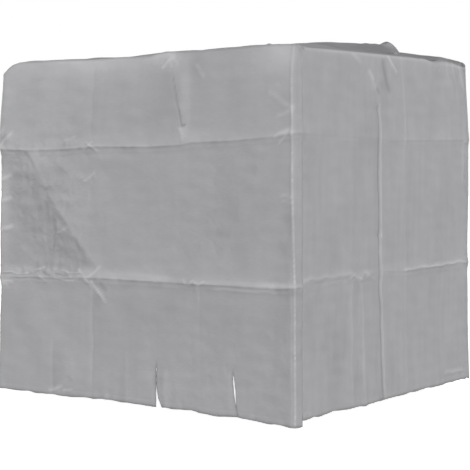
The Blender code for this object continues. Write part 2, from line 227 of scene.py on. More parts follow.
# Where a wall bends to another plane along a line. Columns: places along, their heights, depth,
# how far from the line the deepest part is, and how far beyond that the cloth comes back.
# A positive `near` lies towards the wall's low end.
PLANES = {
    "front": [((-0.455, -0.420, -0.375, -0.322, -0.270, -0.163),
               (-0.303, -0.383, -0.448, -0.503, -0.567, -0.680), 0.0090, 0.075, 0.170),
              ((0.520, 0.440, 0.330), (-0.300, -0.430, -0.640), 0.0028, 0.060, 0.160)],
    "right": [((-0.330, -0.250, -0.120), (-0.740, -0.900, -1.060), 0.0030, 0.060, 0.130)],
    "back": [((-0.100, -0.240, -0.420), (-0.300, -0.480, -0.690), 0.0080, 0.080, 0.170)],
    "left": [((0.330, 0.180, 0.020), (-0.310, -0.500, -0.690), 0.0070, 0.070, 0.160)],
}
print("broad folds:", {wall: len(rows) for wall, rows in FOLDS.items()})

# %% The small creases
# The same columns, for lines a few millimetres wide, pressed in the packet or rucked up later.
SMALL = tables("""
front
-180 -735 -178 -1110 0.3 26 4 20, 148 -80 186 -226 -2 6 4 30, 176 -226 196 -229 -3 5 6 6
182 -236 186 -270 1.8 14 16 14, 240 -50 266 -82 2.2 7 8 10, 140 -12 102 -52 2.6 9 9 12
118 -10 160 -40 1.8 8 9 12, -592 -292 -540 -240 2.8 9 10 12, -600 -262 -575 -228 2 8 8 10
-590 -392 -555 -386 3 11 10 14, -592 -470 -552 -460 2.8 12 10 14, -590 -566 -545 -556 3 11 11 14
-592 -748 -540 -741 2.4 10 10 14, -390 -428 -320 -421 -1.4 6 10 14, -245 -390 -210 -398 2 7 9 12
-210 -398 -176 -378 2 7 9 12, -364 -546 -349 -582 1.6 6 7 10, -340 -540 -322 -574 1.2 6 7 10
-338 -568 -294 -556 2.4 8 8 10, -199 -279 -160 -303 2.8 7 8 12, -210 -300 -178 -276 2 6 7 10
-300 -270 -262 -262 1.4 8 8 12, -586 -711 -470 -711 4.8 4 7 12, -430 -694 -396 -688 3.2 5 5 10
-420 -708 -392 -724 2.6 6 7 8, -398 -702 -372 -716 -2.6 7 7 8, -362 -690 -340 -687 2.4 4 5 8
-312 -693 -284 -699 3.6 5 5 8, -270 -699 -240 -701 3.4 5 5 8, -345 -722 -262 -724 2.2 4 4 8
-345 -706 -300 -710 -2.2 7 6 10, -242 -690 -206 -722 4 8 9 10, -214 -716 -160 -756 3 6 8 12
-182 -727 -131 -783 3.6 6 9 12, -150 -730 -128 -752 -2 8 8 10, -201 -708 -150 -680 2 8 12 14
190 -704 208 -716 3 6 6 6, 212 -716 226 -702 2.8 6 6 6, 232 -704 246 -718 3 6 6 6
256 -718 272 -706 2.8 6 6 6, 240 -724 252 -760 1.6 7 6 10, -352 -940 -353 -1103 0.3 6 12 30
-38 -950 -34 -1103 0.6 6 10 30, -362 -1088 -316 -1078 2.4 10 12 12
-300 -1092 -270 -1084 2 8 10 10, 330 -724 575 -727 1 4 5 30, -600 -732 -400 -730 1.2 4 6 30
556 -436 590 -440 2 7 8 10, 560 -452 592 -457 1.4 6 7 10, 534 -268 580 -249 3.6 10 12 12
548 -286 572 -262 2 8 8 10, 520 -140 590 -180 1.6 14 16 20, 545 -205 594 -190 1.6 10 12 14
70 -1010 74 -1104 0.8 30 14 20, 118 -1000 122 -1104 1 14 34 20, 366 -990 380 -1104 0.8 26 14 20
right
-78 -170 -74 -570 -3 8 7 10, -66 -160 -62 -570 1.8 5 10 10, -74 -570 -50 -1110 -2.6 8 7 10
-62 -570 -39 -1110 1.4 5 10 10, -122 -60 -86 -104 3.4 16 14 14, -96 -90 -70 -120 -2.4 10 10 12
-7 -10 37 -56 4.2 9 8 12, -40 -30 -10 -110 -2.4 22 26 20, 75 -15 83 -268 1 6 14 20
83 -268 92 -1100 0.4 8 16 20, -241 -700 -233 -1100 1 12 6 20, -177 -712 -162 -1100 1.3 8 12 20
-505 -690 -240 -684 1.6 10 20 20, -238 -698 -216 -684 2.6 7 8 8, -210 -690 -176 -700 2.2 8 8 8
-160 -684 -128 -694 2.4 8 8 8, -118 -698 -94 -706 1.8 8 8 8, 88 -690 510 -681 2.2 6 10 20
470 -20 505 -100 2 10 12 14, 420 -10 440 -70 1.6 9 10 14, 380 -10 385 -50 1.4 9 10 14
495 -10 520 -50 -3 12 12 10, -222 -14 -180 -36 2 12 16 14, -530 -8 -508 -14 -4 8 8 8
360 -1052 462 -1056 2 8 12 20, 490 -268 525 -258 2.2 8 8 10
back
-150 -20 -158 -1110 1.4 8 12 20, 208 -20 205 -690 -1.8 10 12 20, 120 -700 190 -716 2.8 8 9 10
180 -694 236 -708 3 8 9 10, 215 -712 262 -764 2.8 7 9 12, -180 -276 -130 -296 2.8 8 9 10
-156 -706 -120 -694 2.4 7 8 10, 300 -420 352 -404 1.8 8 10 12, -420 -180 -370 -220 1.8 10 12 14
left
58 -30 48 -1110 -2.2 10 13 20, 20 -704 70 -716 2.8 8 9 10, 50 -310 94 -292 2.6 8 9 10
-236 -720 -230 -1100 1.2 8 12 20, -350 -480 -310 -500 1.8 9 10 12
top
-172 -520 -160 520 1.6 8 12 30, 190 -530 200 520 1.8 8 12 30, -560 20 560 -79 -1.6 10 12 30
-560 330 560 318 1.4 10 12 30, 140 -60 240 -110 3.4 10 12 14, -220 40 -130 -20 3.2 10 12 14
330 150 470 235 5 18 20 30, 400 300 540 262 4 14 20 30
""")
# Patches of the cloth. Columns: place along, height, half width, half height, then how much paler
# it is (darker, below 0) and how crumpled, both as plain numbers. The paleness is painted light:
# painted highlights and sheen on some patches, painted shade on others.
PATCHES = tables("""
front
-420 -150 240 170 0.34 0.3, -210 6 300 60 1.55 0.2, -600 -290 90 60 0.55 0.8, 95 2 60 36 1.3 0.4
198 -120 22 90 0.5 0.4, 130 -140 32 80 -0.26 0, 184 -252 22 22 0.85 0.8, 128 -226 40 30 0.3 0.3
120 -30 50 30 0.3 1.2, 560 -30 55 50 1.2 0.3, 500 -20 60 50 0.35 0.2, 560 -115 40 30 0.2 0.3
580 -860 55 260 -0.34 0.6, 585 -530 24 110 -0.3 0.6, -600 -450 32 120 0.6 0.8
-580 -110 60 90 0.35 0.3, -450 -325 80 34 0.5 0.8, -580 -742 85 26 1 0.8, -270 -470 75 120 0.4 0.6
-330 -680 30 12 -0.3 1.2, 100 -1030 30 50 -0.3 0.6, 556 -258 28 11 0.55 0.6
-575 -390 26 8 0.6 0.8, -575 -464 26 9 0.6 0.8, -570 -561 30 9 0.6 0.8, -570 -744 30 7 0.5 0.6
-360 -520 170 190 -0.14 1.3, -550 -262 30 24 0.25 0.8, -370 -700 190 24 0.12 1.5
-225 -705 24 16 0.35 1.2, -155 -760 30 34 -0.12 1.2, -60 -698 160 11 0.5 0.3
110 -701 90 8 0.36 0.3, 240 -711 52 10 0.25 1.5, 400 -704 160 7 0.46 0.4, 540 -706 50 7 0.3 0.4
-338 -1086 36 10 0.42 0.9, -290 -1040 60 50 0.08 0.8, -360 -424 40 10 -0.3 0.8
-210 -387 36 10 0.25 0.7, -185 -290 26 14 0.25 1.2, -300 -265 120 30 -0.1 1.2
230 -520 220 180 -0.05 0.3, 300 -950 260 160 -0.05 0.4, 40 -205 110 55 -0.24 0
235 -45 50 45 -0.36 0, 235 -262 50 18 0.55 0.3, -110 -320 170 17 0.15 0.2, -470 -365 30 36 0.4 0.2
-580 -530 32 140 0.6 0.3, -540 -697 70 13 0.55 0.4, 545 -704 60 9 1 0.2, 470 -520 70 120 -0.24 0
60 -800 260 60 -0.17 0, 385 -830 90 80 -0.26 0, 100 -860 220 120 -0.1 0, 225 -82 38 55 -0.24 0
150 -62 20 36 0.28 0, 556 -168 30 38 -0.32 0, -576 -258 20 16 -0.6 0.2, -400 -335 80 20 0.24 0.2
-20 -316 60 12 0.15 0, -110 -357 80 18 -0.26 0, -402 -450 20 32 0.45 0, -380 -676 190 12 -0.32 0.2
85 -724 30 12 -0.34 0
right
0 -160 500 70 -0.12 0, -170 -245 60 35 -0.22 0, -524 -14 16 14 -0.9 0, 2 -56 22 30 0.24 0
-95 -85 40 32 0.3 0.3, -46 -85 22 60 -0.34 0.2, -200 -22 26 8 0.4 0.3, 14 -32 12 24 0.36 0.4
-320 -706 110 12 -0.26 0.4, 300 -683 220 8 0.22 0.3, -165 -694 80 14 0.16 1.4
415 -1055 56 8 0.3 0.4, 420 -45 80 40 0.05 1.2, 488 -350 12 90 0.22 0.8, -200 -900 50 200 0.08 0.3
back
-150 -294 30 14 0.3 1.2, 210 -704 50 14 0.28 1.4, -300 -520 160 190 -0.14 1.2
390 -706 160 8 0.34 0.4, -380 -276 180 10 0.26 0.4, 300 -150 200 120 0.16 0.3
left
40 -709 40 14 0.28 1.3, 150 -560 150 170 -0.12 1, 70 -300 34 14 0.26 1, -300 -700 160 10 0.24 0.4
top
190 -85 60 40 0.25 1.3, -175 10 60 40 0.25 1.3, 430 250 120 60 -0.1 1, -300 -250 200 150 -0.08 0.6
460 200 200 360 -1 0
""", 4)
# Upright folds pressed so flat that only their shade shows, paler on one side and darker on the
# other. Columns: place along, middle height, half height, tone on the high side.
SHADE_FOLDS = tables("""
front
-179 -925 200 -0.42, -352 -1020 90 -0.36, 256 -900 170 -0.16, -183 -150 130 -0.26
-36 -1030 80 0.2
right
85 -560 540 -0.06
back
-352 -900 160 -0.2
left
300 -900 160 -0.16
""", 3)
print("small creases:", {wall: len(rows) for wall, rows in SMALL.items()})

# %% [markdown]
# Next comes how the cover stands. Its walls lean in at the top, where they are pulled over the
# tank's rounded edge, the hem stands out, the loose top bulges, and the corners at one end droop.
# The front hem has two slits for the tap: one opens at its foot, and the other stays shut.

# %% How the whole cover stands
LEAN, LEAN_FROM = 0.009, 0.27  # the walls lean in by this much, from this far down
FLARE, FLARE_FROM = 0.006, -0.80  # the hem stands out by this much, from this height
END_SLOPE, FRONT_SLOPE, BACK_SLOPE = 0.24, 0.495, 0.437  # how far in the top has risen fully
EDGE_REACH = 0.12  # how far the front top edge's heights reach each way
FRONT_TIP, TIP_FROM, TIP_FADE = 0.016, -0.110, 0.150  # the front tips back towards its top edge
FRONT_TIGHT, TIGHT_DROP = 0.65, 0.24  # the front's top edge is this much tighter, and sinks
# Columns: centre x, centre y, rise, spread to -X, to +X, to -Y and to +Y.
MOUNDS = tables("""
top
356 -4 10 180 90 115 123, 430 250 22 172 50 144 14, 548 295 -30 81 50 60 59
480 365 20 95 120 140 150, -200 -49 -30 190 125 350 350, 480 266 22 50 22 30 8
""")["top"]
# Columns: place along a wall's top edge, how much higher the cloth lies there.
EDGES = tables("""
front
-600 -1, -516 -2, -437 -1, -328 -2, -181 -4, -126 -3, 30 -5, 75 3, 100 7, 182 4, 300 5, 409 9
525 11, 600 8
right
-540 0, -360 2.5, -100 4, 150 5, 360 3.5, 540 0
""")
RIGHT_REACH = 0.100  # how far in from that edge it lies higher
# Columns: x, y, drop, spread.
DROOPS = tables("""
top
-600 -525 36 40, -600 525 20 80, 600 525 -4 90
""")["top"]
# Columns: place along the wall, height of the hem's edge.
HEMS = tables("""
front
-600 -1104, -408 -1104, -327 -1106, -150 -1100, 90 -1104, 240 -1104, 319 -1110, 380 -1106
491 -1114, 600 -1118
right
-525 -1100, -440 -1098, -338 -1095, -165 -1099, -40 -1095, 101 -1092, 525 -1088
back
-600 -1104, -150 -1108, 210 -1102, 600 -1090
left
-525 -1103, 60 -1097, 525 -1103
""")
# Columns: way down a slit in thousandths, left lip's x, right lip's x.
SLITS = list(tables("""
first
0 84.2 85, 80 83.8 87.4, 200 84.6 85.2, 500 85 85.8, 800 85 93, 1000 85 106.5
second
0 378.6 379.4, 120 379.6 382.6, 430 383 389, 640 388 391.5, 750 392 392.7, 1000 399 399.8
""").values())
SLIT_TOP = -0.967  # height where both slits end
SLIT_PULL = 0.060  # cloth beside a slit moves with its lips, over this distance
LIP_FLARE = 0.0008  # a slit's lips curl out by this much
print("slit mouths:", [round(table[-1][2] - table[-1][1], 4) for table in SLITS])


def rounded_box(point):
    """Centre = the nearest point of an inner box, smaller by the rounding. The surface is the
    centre plus the rounding times the unit step away from it; the way out is that ellipsoid's
    normal."""
    inner = np.array([LENGTH / 2, WIDTH / 2, 0.0]) - ROUND
    centre = np.clip(point, np.array([-inner[0], -inner[1], -2.0 * HEIGHT]), inner)
    step = (point - centre) / ROUND
    step /= np.linalg.norm(step, axis=-1, keepdims=True)
    out = step / ROUND
    out /= np.linalg.norm(out, axis=-1, keepdims=True)
    return centre + ROUND * step, out


def settle(point):
    """Walls move out by FLARE at the hem and in by LEAN at the top. The top rises by TOP_RISE
    times an ease from each edge, plus its mounds, and sags at its front edge and corners."""
    x, y, z = (point[..., i] for i in range(3))
    shift = (FLARE * ease((FLARE_FROM - z) / (FLARE_FROM + HEIGHT))
             - LEAN * ease((z + LEAN_FROM) / LEAN_FROM))
    rise = (TOP_RISE * ease((LENGTH / 2 - np.abs(x)) / END_SLOPE)
            * ease((WIDTH / 2 + y) / FRONT_SLOPE) * ease((WIDTH / 2 - y) / BACK_SLOPE))
    for cx, cy, height, left, right, front, back in MOUNDS:
        u = (x - cx) / np.where(x < cx, left, right)
        v = (y - cy) / np.where(y < cy, front, back)
        rise = rise + height * ease(1.25 * (1.0 - np.sqrt(u * u + v * v) / 1.6))
    from_front = ease(1.0 - (y + WIDTH / 2) / EDGE_REACH)
    back = np.clip(y + WIDTH / 2, 0.0, EDGE_REACH)
    tighter = FRONT_TIGHT * back * ease(1.0 - back / EDGE_REACH) * ease((z + ROUND[2]) / ROUND[2])
    from_right = ease(1.0 - (LENGTH / 2 - x) / RIGHT_REACH)
    rise = (rise + read(EDGES["front"], x) * from_front
            + read(EDGES["right"], y) * from_right)
    for cx, cy, drop, spread in DROOPS:
        rise = rise - drop * np.exp(-((x - cx) ** 2 + (y - cy) ** 2) / spread ** 2)
    tip = (FRONT_TIP * np.clip(1.0 - z / TIP_FROM, 0.0, 1.0) ** 2 * from_front
           * ease((x + LENGTH / 2) / TIP_FADE))
    lift = ease((z + EDGE_REACH) / EDGE_REACH) * rise - TIGHT_DROP * tighter
    return np.stack([x * (1.0 + 2.0 * shift / LENGTH),
                     y * (1.0 + 2.0 * shift / WIDTH) + tip - tighter, z + lift + EDGE_Z], axis=-1)


# %% [markdown]
# A panel's surface is a grid of points, one row for each height and one column for each place
# along. Sharp creases need points close together and the calm parts between them don't, so the
# grid's lines are spaced by a rule: close near the named folds, wider elsewhere.
# The rows of a wall bend with its two packing creases, so each crease has a row on its very line.

# %% Grid lines
STEP = 3  # the inner face has every third grid line of the outer one
UPPER_ROW, LOWER_ROW = -0.290, -0.712  # the rows that follow the two packing creases
HEM_UNEVEN = 0.0010  # the hem's edge waves by this


def grid_lines(low, high, wide, close, places, reach):
    """Spacing is wide, and close at the given places, with a bell of that reach between.
    The lines stand where the running sum of 1 / spacing passes equal steps."""
    fine = np.linspace(low, high, 6001)
    near = bell(fine[:, None] - np.array(places), reach).max(axis=1)
    count = np.cumsum(1.0 / (wide + (close - wide) * near)) * (fine[1] - fine[0])
    count -= count[0]
    lines = STEP * int(math.ceil(count[-1] / STEP))
    return np.interp(np.linspace(0.0, count[-1], lines + 1), count, fine)


def snap(lines, places):
    """Move the nearest line onto each place that needs one."""
    for place in places:
        lines[np.argmin(np.abs(lines - place))] = place
    return lines


def wall_heights(wall, along, rows):
    """Row heights, stretched so that two rows lie on the creases and the last one on the hem."""
    upper, lower = (read(WALL_CREASES[wall], along, i) for i in (1, 2))
    hem = read(HEMS[wall], along) + HEM_UNEVEN * ripple(along, 0 * along, 0.070, 5)
    row = np.asarray(rows)[:, None]
    above = upper * row / UPPER_ROW
    between = upper + (lower - upper) * (row - UPPER_ROW) / (LOWER_ROW - UPPER_ROW)
    below = lower + (hem - lower) * (row - LOWER_ROW) / (-HEIGHT - LOWER_ROW)
    return np.where(row > UPPER_ROW, above, np.where(row > LOWER_ROW, between, below))


WIDEST = LENGTH / 2 + WRAP
STRIP_FOLD, END_FOLD = 0.560, 0.440  # columns past these places close up near the top
FRONT_COLUMNS = grid_lines(-WIDEST, WIDEST, 0.0070, 0.0028,
                           [-0.641, -0.620, -0.588, -0.178, 0.084, 0.098, 0.181, 0.379, 0.390,
                            0.588, 0.599, 0.620, 0.641], 0.015)
END_COLUMNS = grid_lines(-WIDTH / 2, WIDTH / 2, 0.0062, 0.0024,
                         [-0.540, -0.500, -0.079, -0.060, 0.085, 0.540], 0.020)
CLOSE_ROWS = [-1.105, -1.090, -0.712, -0.696, -0.290, -0.010]
WALL_ROWS = snap(grid_lines(-HEIGHT, 0.0, 0.0076, 0.0021, CLOSE_ROWS, 0.018),
                 [UPPER_ROW, LOWER_ROW, SLIT_TOP])[::-1]
BACK_ROWS = snap(grid_lines(-HEIGHT, 0.0, 0.0140, 0.0044, CLOSE_ROWS, 0.018),
                 [UPPER_ROW, LOWER_ROW])[::-1]
TOP_ROWS = grid_lines(-WIDTH / 2, WIDTH / 2, 0.0140, 0.0045,
                      [-0.540, -0.522, 0.264, 0.522, 0.540], 0.014)[1:-1]
print(f"{len(FRONT_COLUMNS)} columns, {len(WALL_ROWS)} wall rows, {len(TOP_ROWS)} top rows, "
      f"{len(END_COLUMNS)} end columns")

# %% [markdown]
# The seam isn't on the corner's edge. The long strip turns round the corner first, as a narrow
# band with a hard pressed edge, and the end panel starts behind it. So a wall of the strip is
# unrolled past the corner, and its outermost columns close up towards the top, where the band ends.

# %% Round the corners
def wrap_width(height):
    """WRAP, easing to 0 over WRAP_FADE below the top edge."""
    return WRAP * ease(-height / WRAP_FADE)


def close_up(places, fold, widest, half):
    """Past the fold, a place at share t of the way to the widest goes to fold + t (half - fold)."""
    share = np.maximum(np.abs(places) - fold, 0.0) / (widest - fold)
    return np.sign(places) * (np.minimum(np.abs(places), fold) + share * (half - fold))


def strip_wall(side, x, height):
    """A wall of the strip as box points: what lies past the corner turns onto the end's wall."""
    past = np.maximum(np.abs(x) - LENGTH / 2, 0.0)
    across = np.clip(x, -LENGTH / 2, LENGTH / 2)
    return np.stack([across, side * (WIDTH / 2 - past), height], axis=-1)


print("band beside each upright seam:", WRAP, "m wide")

# %% [markdown]
# Now the relief: how far each point stands out of, or in from, the smooth box. It is the sum of
# the pressed creases, the broad folds, the small creases, a slow undulation of loose cloth and the
# puckers that a seam or hem pulls into the cloth beside it. Near an upright seam all of it fades
# to the same narrow crease on both panels, so that they always meet.

# %% Relief of a wall
PRESSED_EDGE, EDGE_RISE, EDGE_WIDTH = 0.016, 0.0009, 0.0028  # the hard line on each corner
SEAM_DIP, SEAM_WIDTH = 0.0005, 0.0030  # a seam draws its two edges in
PUCKER = 0.0005  # and puckers the cloth beside it
HEM_BAND = 0.018  # the turned-up hem
HEM_THICK, HEM_WAVE = 0.0006, 0.0007  # how far the band stands out, and waves
BAND_SHADE, BAND_TOP = 0.30, 0.45  # painted shade: how much darker each corner's band is, and more near its top
STREAKS = {"front": 0.02, "right": 0.05, "back": 0.02, "left": 0.05}  # faint upright streaks
CLOUDS = 0.06  # cloudy patches in the coating
DEEPEST_PLANE = 0.009  # a plane change of this depth has its full shade
SHADE_EDGE, SHADE_REACH = 0.002, 0.030  # a flat fold's shade sets in and dies away over these
FULL_CREASE, FULL_SMALL = 0.0055, 0.003  # full tone at this rise: painted highlight and shade, and whitened coating
HEM_LINE = 0.0050  # the painted shade line along the hem's edge is this wide
TOP_TONE = -0.32  # painted shade: the top is a little darker all over
WALL_TONES, TOP_TONES = (-1.6, 1.8), (-1.4, 1.3)  # the darkest and the palest


def across_and_along(row, u, v):
    """Distance across a fold's line, positive on its high side, distance travelled along it, and
    its length."""
    u0, v0, u1, v1 = row[:4]
    length = math.hypot(u1 - u0, v1 - v0)
    ru, rv = (u1 - u0) / length, (v1 - v0) / length
    au, av = (abs(rv), -ru * np.sign(rv)) if abs(rv) > abs(ru) else (-rv * np.sign(ru), abs(ru))
    du, dv = u - u0, v - v0
    return du * au + dv * av, du * ru + dv * rv, length


def folds(table, u, v, profile, wander=0.0, seed=0):
    """Sum over the rows: rise x profile(distance) x an ease at both ends. The line wanders by a
    slow ripple, because a crease in loose cloth is never ruled straight."""
    total = np.zeros_like(u)
    drift = wander * ripple(u, v, 0.085, seed) if wander else 0.0
    for row in table:
        rise, low, high, fade = row[4:]
        distance, travelled, length = across_and_along(row, u, v)
        ends = ease(travelled / fade + 1.0) * ease((length - travelled) / fade + 1.0)
        total += rise * profile(distance + drift, low, high) * ends
    return total


def planes(wall, along, height):
    """Each plane change: depth x plane_change(distance to the line), fading past its two ends. Also
    its painted shade: the plane behind the line is painted darker and is more crumpled, and the
    strip before it is painted paler, as a highlight."""
    total, shade = np.zeros_like(along), np.zeros_like(along)
    for places, heights, depth, near, far in PLANES[wall]:
        drop = heights[-1] - heights[0]
        slant = abs(drop) / math.hypot(drop, places[-1] - places[0])
        line = np.interp(-height, -np.array(heights), np.array(places))
        ends = (ease((heights[0] + 0.030 - height) / 0.050)
                * ease((height - heights[-1] + 0.020) / 0.050))
        distance = (line - along) * slant
        total += depth * plane_change(distance, near, far) * ends
        behind = ease(0.3 + distance / 0.020) * (1.0 - ease((distance - near) / (1.2 * far)))
        before = ease(-distance / 0.016) * ease(1.0 + distance / 0.085)
        shade += depth / DEEPEST_PLANE * ends * (behind - 0.6 * before)
    return total, shade


def patches(table, u, v, index):
    """Sum over the rows: value x a bell of the patch's half width and half height."""
    total = np.zeros_like(u)
    for row in table:
        total += row[index] * np.exp(-((u - row[0]) / row[2]) ** 2 - ((v - row[1]) / row[3]) ** 2)
    return total


def shade_folds(table, along, height):
    """tone x tanh(d / edge) x e^(-|d| / reach) x e^(-(h / half)^4), with d the distance past the
    fold and h the height above its middle. The fold's line wanders a little."""
    total = np.zeros_like(along)
    for place, middle, half, tone in table:
        past = along - place - SHADE_EDGE * ripple(0 * along, height, 0.090, 81)
        fade = np.exp(-np.abs(past) / SHADE_REACH - ((height - middle) / half) ** 4)
        total += tone * np.tanh(past / SHADE_EDGE) * fade
    return total


def crease_tones(distance, strength, shade, along, seed):
    """A pressed crease's tone: a painted highlight above its line, broken bright lines on it that
    are part whitened coating and part painted highlight, and painted shade below, darkest just
    under it.
    """
    broken = np.clip(0.75 + 0.55 * ripple(along, 0 * along, 0.045, seed), 0.15, 1.6)
    above = np.exp(-np.maximum(distance, 0.0) / 0.032) * ease(0.5 + distance / 0.005)
    below, thin = bell(distance + 0.017, 0.013), bell(distance + 0.0022, 0.0026)
    second = bell(distance + SECOND_LINE[0] - 0.002, 0.0030)
    return strength * (0.45 * above - shade * below - 0.55 * (1.4 - broken) * thin
                       + 0.25 * broken * second
                       + 0.30 * broken * fold_line(distance - 0.0040, 0.003, 0.006, 1.0))


def seam_relief(seam, along, seed):
    """The puckers just inside a seam, and the dip at its edge."""
    pucker = PUCKER * ripple(0.4 * seam, along, 0.020, seed) * bell(seam - 0.012, 0.010)
    return pucker, -SEAM_DIP * bell(seam, SEAM_WIDTH)


def wall_relief(wall, half, along, height):
    """Creases + folds + planes, times an ease in from the seams, + the shared corner crease, the
    pressed edge, the dip and puckers of a seam, and the hem's band. Half is the panel's half width
    at each point. Returns the relief, how much paler each point is, with painted highlights and
    painted shade in it, and how crumpled."""
    seed = 20 + len(wall)
    upper, lower = (height - read(WALL_CREASES[wall], along, i) for i in (1, 2))
    upper_rise, lower_rise = (read(CREASE_HEIGHTS[wall], along, i) for i in (1, 2))
    uneven = 1.0 + 0.25 * ripple(along, 0 * along, 0.110, 11)
    upper_line = fold_line(upper, UPPER_SPREAD[1], UPPER_SPREAD[0])
    lower_line = fold_line(lower, LOWER_SPREAD[1], LOWER_SPREAD[0])
    second_at, second_half = SECOND_LINE
    second = (fold_line(upper + second_at, second_half, second_half, 1.2)
              + fold_line(lower + second_at, second_half, second_half, 1.2))
    pressed = (upper_rise * upper_line + lower_rise * lower_line + SECOND_RISE * second) * uneven
    bends, shade = planes(wall, along, height)
    broad = folds(FOLDS[wall], along, height, swell) + bends
    small = folds(SMALL[wall], along, height, fold_line, 0.0016, seed)
    rumple = np.clip(0.35 + 1.0 * shade + patches(PATCHES[wall], along, height, 5), 0.0, 2.2)
    slow = (0.0007 * ripple(along, height, 0.230, seed + 1)
            + 0.00028 * rumple * ripple(along, height, 0.055, seed + 2)
            + 0.00022 * rumple * ripple(along, height, 0.024, seed + 6))
    seam = half - np.abs(along)
    inward = ease(seam / SEAM_FADE)
    corner = CORNER_CREASE * (upper_line + lower_line)
    pucker, dip = seam_relief(seam, height, seed + 3)
    from_hem = height - read(HEMS[wall], along)
    hem_wave = ripple(along, 0.3 * height, 0.034, seed + 4) * bell(from_hem, 0.030) * inward
    band_edge = from_hem - HEM_BAND
    band = ease(1.0 - band_edge / 0.003) - bell(band_edge, 0.0025)
    hem = HEM_THICK * band + HEM_WAVE * hem_wave
    relief = corner + (pressed + broad + slow - corner) * inward + small * ease(seam / 0.010)
    relief = (relief + pucker + hem) * ease(-height / 0.040) + dip
    # The tone paints light and shade: a painted highlight above each pressed crease and painted
    # shade below it, small creases paler on ridges (worn coating and painted highlight) and painted
    # darker in grooves, painted shade behind each plane change and in the patches, and a painted
    # shade line along the hem. The streaks and clouds are the coating's own.
    tone = (crease_tones(upper, upper_rise / FULL_CREASE, 0.00, along, 51)
            + crease_tones(lower, lower_rise / FULL_CREASE, 0.05, along, 52)
            + 1.5 * small / FULL_SMALL + patches(PATCHES[wall], along, height, 4) - 0.42 * shade
            + shade_folds(SHADE_FOLDS[wall], along, height)
            + STREAKS[wall] * ripple(along, 0.12 * height, 0.040, seed + 7)
            + CLOUDS * ripple(0.45 * along, height, 0.050, seed + 8) * (0.5 + rumple)
            - 1.90 * bell(from_hem, HEM_LINE))
    if wall in ("front", "back"):
        # The pressed corner edge: a raised line, pale with flecks of whitened coating, a line of
        # painted shade just inside it, and painted shade over the band round the corner.
        edge = np.abs(along) - (LENGTH / 2 - PRESSED_EDGE) - 0.010 * ease((-height - 0.35) / 0.45)
        flecks = ripple(0 * along, height, 0.016, 61) * ripple(0 * along, height, 0.070, 62)
        fleck = np.clip(flecks + 0.35, 0.0, 2.0)
        line = bell(edge, EDGE_WIDTH) * ease((-height - 0.02) / 0.25)
        relief = relief + EDGE_RISE * (0.7 + 0.5 * fleck) * line
        band = ease(edge / 0.006) * ease(1.6 - edge / 0.030)
        tone = (tone + (0.35 + 0.9 * fleck) * line - 0.40 * bell(edge + 0.0065, 0.0035)
                - (BAND_SHADE + BAND_TOP * ease(1.0 + height / 0.30)) * band)
    return relief, np.clip(tone, *WALL_TONES), rumple


def top_relief(x, y):
    """The top's folds and ripples, fading at its edges. Returns the same three fields."""
    end_seam = LENGTH / 2 - np.abs(x)
    inward = ease(np.minimum(end_seam, WIDTH / 2 - np.abs(y)) / 0.080)
    small = folds(SMALL["top"], x, y, fold_line, 0.0030, 41)
    rumple = np.clip(0.3 + patches(PATCHES["top"], x, y, 5), 0.0, 2.0)
    slow = 0.0018 * ripple(x, y, 0.240, 42) + 0.0005 * rumple * ripple(x, y, 0.070, 43)
    pucker, dip = seam_relief(end_seam, y, 44)
    # The top's tone: painted shade all over and in its patches, a painted highlight along the front
    # edge, small creases paler on ridges (worn coating and painted highlight) and painted darker in
    # grooves, and a dark line at each end seam.
    tone = (TOP_TONE + 1.1 * small / FULL_SMALL + patches(PATCHES["top"], x, y, 4)
            - 0.35 * bell(end_seam, 0.0028) + 1.4 * bell(y + WIDTH / 2, 0.030))
    relief = (folds(FOLDS["top"], x, y, swell) + small + slow) * inward + pucker + dip
    return relief, np.clip(tone, *TOP_TONES), rumple


print("pressed edge", PRESSED_EDGE, "m from each corner, hem band", HEM_BAND, "m")

# %% [markdown]
# A panel is then closed into a real sheet. The outer face keeps every grid line, and the inner
# face, which only shows from below, keeps every third one and lies the cloth's thickness in. It
# leaves the rims at exactly that thickness, then drops a little further in so that no small crease
# of the outer face can poke through it. Strips of small faces along the rims join the two.

# %% Closing a grid into a sheet
SLACK, SLACK_FADE = 0.0042, 0.040  # how much further in the inner face lies, this far from a rim
SHARP_FROM = math.radians(50)  # edges that turn more than this stay hard


